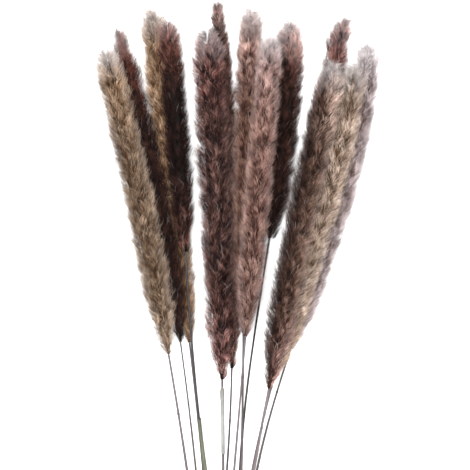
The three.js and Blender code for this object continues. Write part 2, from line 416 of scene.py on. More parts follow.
class Solids:
    """Collects closed solids with their bake map and their shading facts, and makes one mesh of them."""

    FACTS = ("along", "tuft", "strand", "height", "across", "kind")

    def __init__(self):
        self.points, self.loops, self.sizes, self.map, self.facts = [], [], [], [], []
        self.count = 0

    def add(self, points, loops, sizes, place_on_map, facts):
        """Takes points with their facts, and faces as corner numbers with sizes and places on the map."""
        self.points.append(points.reshape(-1, 3))
        self.loops.append(loops.ravel() + self.count)
        self.sizes.append(sizes.ravel())
        self.map.append(place_on_map.reshape(-1, 2))
        rows = [np.broadcast_to(facts.get(n, 0.0), points.shape[:-1]).ravel() for n in self.FACTS]
        self.facts.append(np.stack(rows, 1))
        self.count += self.points[-1].shape[0]

    def piece(self, name, material):
        """One object with everything collected so far."""
        points = np.concatenate(self.points).astype(np.float32)
        loops = np.concatenate(self.loops).astype(np.int32)
        sizes = np.concatenate(self.sizes).astype(np.int32)
        starts = np.concatenate([[0], np.cumsum(sizes)[:-1]]).astype(np.int32)
        mesh = bpy.data.meshes.new(name)
        mesh.vertices.add(len(points))
        mesh.vertices.foreach_set("co", points.ravel())
        mesh.loops.add(len(loops))
        mesh.loops.foreach_set("vertex_index", loops)
        mesh.polygons.add(len(sizes))
        mesh.polygons.foreach_set("loop_start", starts)
        mesh.polygons.foreach_set("loop_total", sizes)
        mesh.polygons.foreach_set("use_smooth", np.ones(len(sizes), bool))
        layer = mesh.uv_layers.new(name=BAKE_MAP)
        layer.data.foreach_set("uv", np.concatenate(self.map).astype(np.float32).ravel())
        facts = np.concatenate(self.facts).astype(np.float32)
        for i, fact in enumerate(self.FACTS):
            attribute = mesh.attributes.new(fact, "FLOAT", "POINT")
            attribute.data.foreach_set("value", np.ascontiguousarray(facts[:, i]))
        mesh.update(calc_edges=True)
        if mesh.validate(verbose=False):
            raise RuntimeError(f"{name}: the mesh had faults")
        made = bpy.data.objects.new(name, mesh)
        bpy.context.scene.collection.objects.link(made)
        mesh.materials.append(material)
        return made


def settle_on_floor(points, clearance):
    """Presses what would sink into the floor flat on it, and keeps the order of heights."""
    soft = 2.4 * MM
    z = points[..., 2]
    pressed = clearance + (soft - clearance) * np.exp(np.minimum(z - soft, 0.0) / (soft - clearance))
    points[..., 2] = np.where(z < soft, pressed, z)
    return points


# Corners of a strand: three at its root, three at its bend and one at its point.
STRAND_CORNERS = 7
STRAND_ALONG = np.array([0.0, 0.0, 0.0, 0.55, 0.55, 0.55, 1.0])
STRAND_LOOPS = np.array([0, 1, 4, 3, 1, 2, 5, 4, 2, 0, 3, 5, 3, 4, 6, 4, 5, 6, 5, 3, 6, 2, 1, 0])
STRAND_SIZES = np.array([4, 4, 4, 3, 3, 3, 3])
STRAND_MAP = np.array(
    [
        (0.0, 0.1), (0.33, 0.1), (0.33, 0.55), (0.0, 0.55),
        (0.33, 0.1), (0.67, 0.1), (0.67, 0.55), (0.33, 0.55),
        (0.67, 0.1), (1.0, 0.1), (1.0, 0.55), (0.67, 0.55),
        (0.0, 0.55), (0.33, 0.55), (0.5, 1.0),
        (0.33, 0.55), (0.67, 0.55), (0.5, 1.0),
        (0.67, 0.55), (1.0, 0.55), (0.5, 1.0),
        (0.67, 0.1), (0.33, 0.1), (0.5, 0.0),
    ]
)
BODY_BAND = 0.06
CELL_MARGIN = 0.12
STEEP = 0.9


def add_strands(solids, path, radii, facts, first_cell, cells):
    """Closed three-sided strands through root, bend and point, each in a cell of its own on the map."""
    count = len(path)
    lower = unit(path[:, 1] - path[:, 0])
    aside = np.where(np.abs(lower[:, 2:3]) > STEEP, [[1.0, 0.0, 0.0]], [[0.0, 0.0, 1.0]])
    a = unit(np.cross(lower, aside))
    b = np.cross(lower, a)
    corners = []
    for ring in range(2):
        for k in range(3):
            turn = TURN * k / 3.0
            spoke = math.cos(turn) * a + math.sin(turn) * b
            corners.append(path[:, ring] + radii[:, ring, None] * spoke)
    corners.append(path[:, 2])
    points = np.stack(corners, 1)
    loops = STRAND_LOOPS[None, :] + STRAND_CORNERS * np.arange(count)[:, None]
    across = int(math.ceil(math.sqrt(cells)))
    cell = first_cell + np.arange(count)
    corner = np.stack([cell % across, cell // across], 1)[:, None, :]
    inner = STRAND_MAP[None] * (1.0 - 2.0 * CELL_MARGIN) + CELL_MARGIN
    place = (corner + inner) / across
    place[..., 1] = BODY_BAND + (1.0 - BODY_BAND) * place[..., 1]
    by_point = {name: np.asarray(values)[:, None] for name, values in facts.items()}
    by_point["along"] = STRAND_ALONG[None, :]
    solids.add(points, loops, np.tile(STRAND_SIZES, count), place, by_point)


def turned_round(values, corners, *each):
    """Values by corner of the faces, with the order of each face's corners turned round."""
    turned = values.reshape(-1, corners, *each)[:, ::-1]
    return turned.reshape(-1, *each)


def tube_walls(count, sides, margin, low, width):
    """The four-cornered faces between the rings of a tube, and their places in a band of the map."""
    i, k = np.meshgrid(np.arange(count - 1), np.arange(sides), indexing="ij")
    here, after = i * sides, (k + 1) % sides
    walls = np.stack([here + k, here + after, here + sides + after, here + sides + k], -1)
    u = np.stack([i, i, i + 1, i + 1], -1) / (count - 1)
    v = np.stack([k, k + 1, k + 1, k], -1) / sides
    return walls, np.stack([margin + (1.0 - 2.0 * margin) * u, low + width * v], -1)


def add_tube(solids, rings, band, facts):
    """A closed tube through rings of points, (rings, sides, 3), laid in a band of the map."""
    count, sides = rings.shape[:2]
    low, high = band
    walls, wall_map = tube_walls(count, sides, 0.02, low, high - low)
    ends = np.stack([np.arange(sides)[::-1], (count - 1) * sides + np.arange(sides)])
    turn = TURN * np.arange(sides) / sides
    disc = np.stack([np.cos(turn), np.sin(turn)], 1) * 0.3 * (high - low)
    end_map = np.stack([disc[::-1] + [0.01, (low + high) / 2], disc + [0.99, (low + high) / 2]])
    end_map = np.clip(end_map, 0.0, 1.0)
    loops = np.concatenate([turned_round(walls, 4), turned_round(ends, sides)])
    sizes = np.concatenate([np.full((count - 1) * sides, 4), np.full(2, sides)])
    place = np.concatenate([turned_round(wall_map, 4, 2), turned_round(end_map, sides, 2)])
    solids.add(rings, loops, sizes, place, facts)


def add_leaf(solids, rings, facts):
    """A closed leaf: rings that run out along its outside and back along its inside, closed by strips."""
    count, sides = rings.shape[:2]
    walls, wall_map = tube_walls(count, sides, 0.05, 0.02, 0.96)
    m = np.arange(sides // 2 - 1)
    last = (count - 1) * sides
    lower = np.stack([m, sides - 1 - m, sides - 2 - m, m + 1], -1)
    upper = np.stack([last + m, last + m + 1, last + sides - 2 - m, last + sides - 1 - m], -1)
    v = np.stack([m, m, m + 1, m + 1], -1) / sides * 1.9
    lower_map = np.stack([np.broadcast_to([0.0, 0.04, 0.04, 0.0], v.shape), 0.02 + v], -1)
    v = np.stack([m, m + 1, m + 1, m], -1) / sides * 1.9
    upper_map = np.stack([np.broadcast_to([0.96, 0.96, 1.0, 1.0], v.shape), 0.02 + v], -1)
    loops = np.concatenate([turned_round(faces, 4) for faces in (walls, lower, upper)])
    sizes = np.full(loops.size // 4, 4)
    place = np.concatenate([turned_round(places, 4, 2) for places in (wall_map, lower_map, upper_map)])
    solids.add(rings, loops, sizes, place, facts)


def take_place(piece, node):
    """Lets a piece ride with the bundle in place of its CAD node."""
    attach(piece, "root")
    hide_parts(node)


# ---------------------------------------------------------------- plumes


def around(line, s, turn, reach):
    """Points at distances s along a plume's centre line, turned round it, at distances reach from it."""
    place, side, up, _ = line.at(s)
    flat = np.cos(turn)[..., None] * side + np.sin(turn)[..., None] * up * line.flatness
    return place + reach[..., None] * flat


def strand_path(line, *places):
    """Paths of strands through places, each of them its distance along the line, its turn and its reach."""
    return np.stack([around(line, s, turn, reach) for s, turn, reach in places], 1)


def strand_facts(line, kind, s, turn, tuft, strand):
    """Facts of strands of one kind that start at distances s."""
    return dict(
        tuft=tuft, strand=strand, height=s / line.length, across=np.cos(turn), kind=np.full(len(s), kind)
    )


def spread_along(line, count, rng, start, end):
    """Distances along the line, evenly over the plume's surface."""
    s = np.linspace(start, end, AXIS_STEPS)
    weight = np.interp(s, line.s, line.half) + 2.5 * MM
    total = np.concatenate([[0.0], np.cumsum((weight[1:] + weight[:-1]) / 2.0)])
    return np.interp((np.arange(count) + rng.random(count)) / count * total[-1], total, s)


# Sizes and leans of branches, of their tufts and of single strands, as shares of the usual one.
BRANCH_SIZE, TUFT_SIZE, STRAND_SIZE = (0.85, 1.15), (0.8, 1.12), (0.75, 1.12)
BRANCH_LEAN, TUFT_LEAN = (0.7, 1.3), (0.8, 1.2)
# How far the tufts of a branch lean towards one another, and how their tones add up.
GATHER = 0.45
BRANCH_TONE, TUFT_TONE = 0.55, 0.45
# Some tufts stay inside the fur.
INNER_TUFTS, INNER_REACH = 0.3, (0.6, 0.86)
# Tufts are short at the foot of a plume, and those of its top fill it from the middle out.
FOOT_SIZE, FOOT_GROWTH, FOOT_LENGTH = 0.62, 0.38, 30.0 * MM
BRUSH_DEPTH, BRUSH_EVENNESS = 0.85, 1.6
# Where tufts and strands end round the top of the plume, in millimetres.
TUFT_ENDS, STRAND_ENDS = (-11.0, 6.0), (-3.0, 3.0)
# Single strands that stand out of the fur.
STRAYS, STRAY_REACH = 0.1, (0.04, 0.2)
# Where the bend of a strand is: along it, outward and round the plume.
BEND_ALONG, BEND_OUT, BEND_ROUND = 0.52, 0.56, 0.42


def tufts_in_branches(line, look, shape, rng):
    """The tufts of a plume, gathered in branches: where each starts and points to, its size and tone."""
    usual = shape.strand_length
    surface = float(line.half.mean()) * line.length * math.pi * (1.0 + line.flatness)
    branches = min(int(surface / shape.tuft_area), shape.tufts) // shape.tufts_per_branch
    tufts = branches * shape.tufts_per_branch

    def by_tuft(values):
        return np.repeat(values, shape.tufts_per_branch)

    width = math.sqrt(shape.tufts_per_branch * shape.tuft_area)
    branch = spread_along(line, branches, rng, 1.0 * MM, line.length - 0.2 * usual)
    branch_turn = np.arange(branches) * GOLDEN_TURN + rng.normal(0.0, 0.3, branches)
    drift = (rng.random((2, tufts)) - 0.5) * width
    root = np.clip(by_tuft(branch) + drift[0], 1.0 * MM, line.length - 0.1 * usual)
    wide = np.maximum(np.interp(root, line.s, line.half), LEAST_REACH)
    turn = by_tuft(branch_turn) + drift[1] / wide
    size = usual * by_tuft(rng.uniform(*BRANCH_SIZE, branches)) * rng.uniform(*TUFT_SIZE, tufts)
    size *= FOOT_SIZE + FOOT_GROWTH * np.clip(root / FOOT_LENGTH, 0.0, 1.0)
    lean = shape.strand_lean * by_tuft(rng.uniform(*BRANCH_LEAN, branches)) * rng.uniform(*TUFT_LEAN, tufts)
    reach = by_tuft(rng.normal(1.0, look.ragged, branches)) + rng.normal(0.0, 0.5 * look.ragged, tufts)
    inner = rng.random(tufts) < INNER_TUFTS
    reach = np.where(inner, rng.uniform(*INNER_REACH, tufts), reach) * look.swell
    brush = np.clip((root - line.length + shape.brush) / shape.brush, 0.0, 1.0)
    reach *= 1.0 - brush * BRUSH_DEPTH * rng.random(tufts) ** BRUSH_EVENNESS
    tone = BRANCH_TONE * by_tuft(rng.random(branches)) + TUFT_TONE * rng.random(tufts)
    aside = by_tuft(rng.normal(0.0, math.tan(shape.splay), branches)) + rng.normal(0.0, 0.2, tufts)
    return SimpleNamespace(
        count=tufts,
        drift=drift,
        root=root,
        turn=turn,
        size=size,
        lean=lean,
        reach=reach,
        tone=tone,
        aside=aside,
    )


def tufted_strands(line, look, shape, rng):
    """Paths, radii and facts of the strands, tuft by tuft up the plume."""
    tuft = tufts_in_branches(line, look, shape, rng)

    def by_strand(values):
        return np.repeat(values, shape.strands_per_tuft)

    n = tuft.count * shape.strands_per_tuft
    own_s = rng.uniform(-1.0, 1.0, n) * 3.0 * MM
    own_side = rng.uniform(-1.0, 1.0, n) * shape.tuft_width
    loose = 1.0 - look.clumping
    long = by_strand(tuft.size) * rng.uniform(*STRAND_SIZE, n)
    tilt = by_strand(tuft.lean) * rng.uniform(1.0 - 0.4 * loose, 1.0 + 0.5 * loose, n)
    s0 = np.maximum(by_strand(tuft.root) + own_s, 0.3 * MM)
    s2 = by_strand(tuft.root - GATHER * tuft.drift[0]) + own_s * loose + long * np.cos(tilt)
    s2 = s2 + rng.normal(0.0, 0.5 * MM, n)
    end = by_strand(rng.uniform(*TUFT_ENDS, tuft.count)) + rng.uniform(*STRAND_ENDS, n)
    s2 = np.minimum(s2, line.length + end * MM)
    s2 = np.maximum(s2, s0 + 0.25 * long)
    half = line.reach(s2, look, shape) + by_strand(rng.normal(0.6, 0.8, tuft.count)) * MM
    strays = np.where(rng.random(n) < STRAYS, rng.uniform(*STRAY_REACH, n), 0.0)
    r2 = half * (by_strand(tuft.reach) + strays + rng.normal(0.0, 0.02 + 0.05 * loose, n))
    r0 = np.clip(r2 - long * np.sin(tilt), 0.18 * r2, None)
    r1 = r0 + (r2 - r0) * rng.normal(BEND_OUT, 0.08, n)
    s1 = s0 + (s2 - s0) * BEND_ALONG
    t0 = by_strand(tuft.turn) + own_side / np.maximum(r0, LEAST_REACH)
    aside = (by_strand(tuft.aside) + rng.normal(0.0, 0.12, n)) * long - by_strand(GATHER * tuft.drift[1])
    aside = aside + own_side * loose + rng.normal(0.0, 0.8 * loose * MM, n)
    t2 = by_strand(tuft.turn) + aside / np.maximum(r2, LEAST_REACH)
    t1 = t0 + (t2 - t0) * BEND_ROUND + rng.normal(0.0, 0.35 * MM, n) / np.maximum(r1, LEAST_REACH)
    path = strand_path(line, (s0, t0, r0), (s1, t1, r1), (s2, t2, r2))
    thick = shape.strand_radius * rng.uniform(0.7, 1.2, n)
    facts = strand_facts(line, STRAND, s0, t1, by_strand(tuft.tone), rng.random(n))
    return path, np.stack([thick, thick * 0.8], 1), facts


def downy_hairs(line, look, shape, rng):
    """Paths, radii and facts of the fine hairs that stand out of the fur and soften its outline."""
    n = int(shape.down * look.down)
    s0 = spread_along(line, n, rng, 2.0 * MM, line.length - 4.0 * MM)
    turn = rng.random(n) * TURN
    long = shape.strand_length * rng.uniform(0.6, 1.35, n)
    tilt = shape.strand_lean * rng.uniform(0.7, 1.8, n)
    s2 = np.minimum(s0 + long * np.cos(tilt), line.length + rng.uniform(-6.0, 6.0, n) * MM)
    s2 = np.maximum(s2, s0 + 0.2 * long)
    s1 = (s0 + s2) / 2.0
    r2 = (line.reach(s2, look, shape) + 0.8 * MM) * look.swell * rng.uniform(0.96, 1.3, n)
    r0 = np.clip(r2 - long * np.sin(tilt), 0.3 * r2, None)
    r1 = r0 + (r2 - r0) * rng.normal(0.5, 0.08, n)
    aside = rng.normal(0.0, 1.3 * math.tan(shape.splay), n) * long
    end = turn + aside / np.maximum(r2, LEAST_REACH)
    middle = turn + (end - turn) * 0.4 + rng.normal(0.0, 0.5 * MM, n) / np.maximum(r1, LEAST_REACH)
    path = strand_path(line, (s0, turn, r0), (s1, middle, r1), (s2, end, r2))
    thick = shape.down_radius * rng.uniform(0.8, 1.3, n)
    facts = strand_facts(line, DOWN, s0, turn, rng.uniform(0.45, 1.0, n), rng.uniform(0.3, 1.0, n))
    return path, np.stack([thick, thick * 0.9], 1), facts


def pale_bristles(line, look, shape, rng):
    """Paths, radii and facts of the few long bristles that stand out of the fur."""
    n = int(shape.bristles * look.down)
    s0 = rng.random(n) ** 1.3 * (line.length - shape.bristle_length)
    turn = rng.random(n) * TURN
    long = shape.bristle_length * rng.uniform(0.6, 1.1, n)
    s2 = s0 + long * math.cos(shape.strand_lean)
    s1 = (s0 + s2) / 2.0
    r2 = (line.reach(s2, look, shape) + 0.6 * MM) * look.swell * rng.uniform(0.95, 1.12, n)
    r0 = np.clip(r2 - long * math.sin(shape.strand_lean), 0.2 * r2, None)
    r1 = r0 + (r2 - r0) * 0.62
    end = turn + rng.normal(0.0, 0.45, n) * long / r2
    middle = turn + (end - turn) * rng.uniform(-0.1, 0.5, n)
    path = strand_path(line, (s0, turn, r0), (s1, middle, r1), (s2, end, r2))
    thick = shape.strand_radius * rng.uniform(0.8, 1.2, n)
    facts = strand_facts(line, BRISTLE, s0, turn, rng.random(n), rng.random(n))
    return path, np.stack([thick, thick * 0.8], 1), facts


def seed_husks(line, look, shape, rng):
    """Paths, radii and facts of the small pointed seed husks between the strands."""
    n = shape.husks
    long = shape.husk_length * rng.uniform(0.7, 1.2, n)
    s0 = spread_along(line, n, rng, 4.0 * MM, line.length)
    turn = rng.random(n) * TURN
    half = line.reach(s0, look, shape)
    r0 = half * look.swell * rng.uniform(0.72, 0.97, n)
    lean = shape.strand_lean * rng.uniform(0.6, 1.2, n)
    s1, s2 = s0 + 0.45 * long * np.cos(lean), s0 + long * np.cos(lean)
    r1, r2 = r0 + 0.45 * long * np.sin(lean), r0 + long * np.sin(lean)
    path = strand_path(line, (s0, turn, r0), (s1, turn, r1), (s2, turn, r2))
    thick = long * rng.uniform(0.13, 0.17, n)
    facts = strand_facts(line, HUSK, s0, turn, rng.random(n), rng.random(n))
    return path, np.stack([thick * 0.35, thick], 1), facts


def inner_body(line, look, shape, rng):
    """Rings of the rough body of branches inside the plume, from the neck up into its top."""
    count, sides = 90, 18
    at_neck, neck_length, roughness = 0.85, 7.0 * MM, 0.09
    s = np.linspace(0.0, line.length * 0.96, count)
    turn = TURN * np.arange(sides) / sides
    place, side, up, half = line.at(s)
    grow = np.clip(s / neck_length, 0.0, 1.0)
    wide = half * (at_neck + (shape.body_share * look.swell - at_neck) * grow)
    wide = wide * np.clip((line.length - s) / (1.6 * shape.brush), 0.15, 1.0)
    rough = 1.0 + grow[:, None] * rng.normal(0.0, roughness, (count, sides))
    wide = np.maximum(wide, 0.5 * MM)[:, None] * rough
    flat = np.cos(turn)[None, :, None] * side[:, None]
    flat = flat + np.sin(turn)[None, :, None] * up[:, None] * line.flatness
    rings = place[:, None] + wide[..., None] * flat
    facts = dict(
        tuft=rng.random((count, sides)), strand=rng.random((count, sides)),
        height=(s / line.length)[:, None], across=np.cos(turn)[None], kind=BODY,
    )
    return rings, facts


def build_plume(number, look, shape, material):
    """One plume, in place of its CAD node."""
    node = f"plume_{number}"
    rng = np.random.default_rng(look.seed)
    line = CentreLine(node)
    solids = Solids()
    rings, facts = inner_body(line, look, shape, rng)
    add_tube(solids, settle_on_floor(rings, shape.floor_clearance), (0.0, BODY_BAND * 0.9), facts)
    groups = [
        tufted_strands(line, look, shape, rng),
        downy_hairs(line, look, shape, rng),
        pale_bristles(line, look, shape, rng),
        seed_husks(line, look, shape, rng),
    ]
    cells = sum(len(path) for path, _, _ in groups)
    first = 0
    for path, radii, facts in groups:
        path = settle_on_floor(path, shape.floor_clearance + radii.max())
        add_strands(solids, path, radii, facts, first, cells)
        first += len(path)
    take_place(solids.piece(f"feathery_plume_{number}", material), node)


# ---------------------------------------------------------------- culms and sheaths


def ring_points(line, s, radius, turn):
    """Rings of points square to the line, (stations, sides, 3)."""
    place, side, up, _ = line.at(s)
    flat = np.cos(turn)[None, :, None] * side[:, None] + np.sin(turn)[None, :, None] * up[:, None]
    return place[:, None] + radius[..., None] * flat


LOWER_JOINT = (0.3, 0.42)
JOINT_SPACING = 0.42
FIRST_RING = 4.0 * MM
RING_STEP = 5.0 * MM
RINGS_AT_JOINT = np.array([-1.5, -0.8, -0.35, 0.0, 0.35, 0.8, 1.5])


def build_culm(number, look, shape, material):
    """One culm with ribs, swollen joints and a hollow oblique cut, in place of its CAD node."""
    node = f"stem_{number}"
    rng = np.random.default_rng(look.seed + 100)
    line = CentreLine(node)
    sides = shape.sides
    turn = TURN * np.arange(sides) / sides
    joints = line.length * (rng.uniform(*LOWER_JOINT) + np.array([0.0, JOINT_SPACING]))
    steps = np.linspace(FIRST_RING, line.length, int(line.length / RING_STEP))
    close = joints[:, None] + RINGS_AT_JOINT[None] * shape.joint_length
    s = np.unique(np.concatenate([steps, close.ravel()]))
    base = line.at(s)[3]
    bump = np.exp(-(((s[:, None] - joints[None]) / (0.45 * shape.joint_length)) ** 2)).sum(1)
    ribs = 1.0 - shape.rib_depth * (np.arange(sides) % 2)
    wobble = 1.0 + 0.02 * np.sin(s / (17.0 * MM) + rng.random() * TURN)
    radius = (base * (1.0 + shape.joint_swell * bump) * wobble)[:, None] * ribs[None]
    wall = ring_points(line, s, radius, turn)

    foot_radius = float(line.half[0])
    slant = rng.random() * TURN
    rise = shape.cut_slope * foot_radius * (1.0 + np.cos(turn - slant))
    place, side, up, _ = line.at(np.zeros(1))
    along = line.along[0]
    spokes = np.cos(turn)[:, None] * side + np.sin(turn)[:, None] * up
    rim = place + spokes * foot_radius * ribs[:, None] + along * rise[:, None]
    lip = place + spokes * foot_radius * shape.hollow + along * (rise[:, None] + 0.1 * MM)
    floor_of_hollow = place + spokes * foot_radius * shape.hollow * 0.8 + along * shape.hollow_depth
    rings = np.concatenate([floor_of_hollow[None], lip[None], rim[None], wall])
    rings[..., 2] = np.maximum(rings[..., 2], CULM_CLEARANCE)
    height = np.concatenate([[0.0, 0.0, 0.0], s / line.length])[:, None]
    scar = np.concatenate([[0.0, 0.0, 0.0], bump])[:, None]
    inside = np.concatenate([[1.0, 1.0, 0.0], np.zeros(len(s))])[:, None]
    across = np.cos(turn)[None]
    facts = dict(along=height, tuft=scar, strand=inside, height=height, across=across, kind=BODY)
    solids = Solids()
    add_tube(solids, rings, (0.02, 0.98), facts)
    take_place(solids.piece(f"culm_{number}", material), node)


LEAF_ROWS, LEAF_COLUMNS = 64, 48
LEAST_OPEN, OPENING = 0.35, 0.55


def build_sheath(number, name, shape, material, flare_turn, lobes, seed):
    """A leaf wrapped round its culm, one edge over the other, with a torn mouth."""
    node = f"sheath_{number}"
    rng = np.random.default_rng(seed)
    line = CentreLine(node)
    culm = CentreLine(f"stem_{number}")
    sweep = TURN + shape.overlap
    share_round = np.arange(LEAF_COLUMNS) / (LEAF_COLUMNS - 1)
    turn = flare_turn + sweep * (share_round - 0.5)
    torn = 0.12 * rng.random(LEAF_COLUMNS)
    for where, deep, wide in lobes:
        torn += deep * np.exp(-(((share_round - where) / wide) ** 2))
    torn = shape.tear * torn
    t = np.linspace(0.0, 1.0, LEAF_ROWS)
    s = t[:, None] * (line.length - torn[None])
    place, side, up, outer = line.at(s)
    tight = np.interp(place[..., 1], culm.points[:, 1], culm.half) + CULM_CLEARANCE
    ribs = shape.rib_depth * np.cos(TURN * shape.ribs * share_round)[None]
    opened = tight + (outer - tight) * (LEAST_OPEN + OPENING * share_round[None])
    flat = np.cos(turn)[None, :, None] * side + np.sin(turn)[None, :, None] * up

    def skin(offset):
        made = place + (opened + ribs + offset)[..., None] * flat
        made[..., 2] = np.maximum(made[..., 2], 0.15 * MM + max(offset, 0.0))
        return made

    outside, inside = skin(shape.thickness / 2.0), skin(-shape.thickness / 2.0)
    loop = np.concatenate([outside, inside[:, ::-1]], 1)
    facts = dict(
        along=t[:, None],
        tuft=np.concatenate([share_round, share_round[::-1]])[None],
        strand=np.concatenate([np.zeros(LEAF_COLUMNS), np.ones(LEAF_COLUMNS)])[None],
        height=t[:, None],
        across=np.concatenate([np.cos(turn), np.cos(turn[::-1])])[None],
        kind=BODY,
    )
    solids = Solids()
    add_leaf(solids, loop, facts)
    take_place(solids.piece(name, material), node)


# ---------------------------------------------------------------- materials


class Tree:
    """Short ways to place and join shader nodes."""

    def __init__(self, tree):
        self.tree = tree

    def add(self, kind, **values):
        """A new node with some of its values."""
        node = self.tree.nodes.new(kind)
        for key, value in values.items():
            setattr(node, key, value)
        return node

    def join(self, source, target):
        """A link."""
        self.tree.links.new(source, target)

    def put(self, socket, value):
        """A link where value is a socket, a set value where it is a number or a colour."""
        if isinstance(value, bpy.types.NodeSocket):
            self.join(value, socket)
        else:
            socket.default_value = value

    def maths(self, operation, *values, clamp=False):
        """The result of a sum on sockets or numbers."""
        node = self.add("ShaderNodeMath", operation=operation, use_clamp=clamp)
        for socket, value in zip(node.inputs, values):
            self.put(socket, value)
        return node.outputs[0]

    def mix(self, factor, a, b):
        """A colour between a and b."""
        node = self.add("ShaderNodeMix", data_type="RGBA", clamp_factor=True)
        self.put(node.inputs["Factor"], factor)
        self.put(node.inputs[6], a)
        self.put(node.inputs[7], b)
        return node.outputs[2]

    def times(self, tint, by):
        """A colour multiplied by another, channel by channel."""
        node = self.add("ShaderNodeVectorMath", operation="MULTIPLY")
        self.join(tint, node.inputs[0])
        self.join(by, node.inputs[1])
        return node.outputs[0]

    def scaled(self, tint, by):
        """A colour made lighter or darker."""
        node = self.add("ShaderNodeVectorMath", operation="SCALE")
        self.join(tint, node.inputs[0])
        self.join(by, node.inputs["Scale"])
        return node.outputs[0]

    def ramp(self, value, low, high, to_low=0.0, to_high=1.0):
        """A smooth rise from to_low to to_high while the value goes from low to high."""
        node = self.add("ShaderNodeMapRange", interpolation_type="SMOOTHSTEP")
        self.put(node.inputs["Value"], value)
        node.inputs["From Min"].default_value = low
        node.inputs["From Max"].default_value = high
        node.inputs["To Min"].default_value = to_low
        node.inputs["To Max"].default_value = to_high
        return node.outputs["Result"]

    def fact(self, name):
        """One of the facts that the meshes carry."""
        return self.add("ShaderNodeAttribute", attribute_name=name).outputs["Fac"]

    def plus_share(self, base, value, share):
        """The base and a share of the value."""
        return self.maths("ADD", base, self.maths("MULTIPLY", value, share))

    def is_kind(self, kind, wanted):
        """One where a solid is of the wanted kind."""
        return self.maths("COMPARE", kind, wanted, 0.3)

    def noise(self, vector, detail=2.0, rough=0.5):
        """Soft noise over the given coordinates."""
        node = self.add("ShaderNodeTexNoise")
        self.put(node.inputs["Vector"], vector)
        node.inputs["Scale"].default_value = 1.0
        node.inputs["Detail"].default_value = detail
        node.inputs["Roughness"].default_value = rough
        return node.outputs["Fac"]

    def stretched(self, scale):
        """The object's own coordinates, squeezed or stretched by axis."""
        place = self.add("ShaderNodeTexCoord")
        node = self.add("ShaderNodeMapping")
        self.join(place.outputs["Object"], node.inputs["Vector"])
        node.inputs["Scale"].default_value = scale
        return node.outputs["Vector"]


def new_group(name, inputs, outputs):
    """An empty shader node group with named sockets."""
    group = bpy.data.node_groups.new(name, "ShaderNodeTree")
    for kind, label, value in inputs:
        socket = group.interface.new_socket(name=label, in_out="INPUT", socket_type=kind)
        socket.default_value = value
    for kind, label in outputs:
        group.interface.new_socket(name=label, in_out="OUTPUT", socket_type=kind)
    made = Tree(group)
    return made, made.add("NodeGroupInput").outputs, made.add("NodeGroupOutput").inputs


NUMBER, TINT = "NodeSocketFloat", "NodeSocketColor"


PATCH_GRAIN, FIBRE_GRAIN = (120.0, 50.0, 120.0), (900.0, 250.0, 900.0)
FINE_STREAKS, BROAD_STREAKS = (1600.0, 45.0, 1600.0), (220.0, 22.0, 220.0)
FLOOR_MOTTLE = (9.0, 9.0, 9.0)
# How strongly tufts, strands and patches differ in tone, and how much earlier that makes a strand pale.
TUFT_SHARE, STRAND_SHARE, PATCH_STRENGTH = 0.45, 0.55, 1.6
EARLY_STREAKS, EARLY_DOWN, TONE_CONTRAST = 1.1, 0.5, 1.4
PALE_BRISTLE, DARK_HUSK = 0.75, 0.8


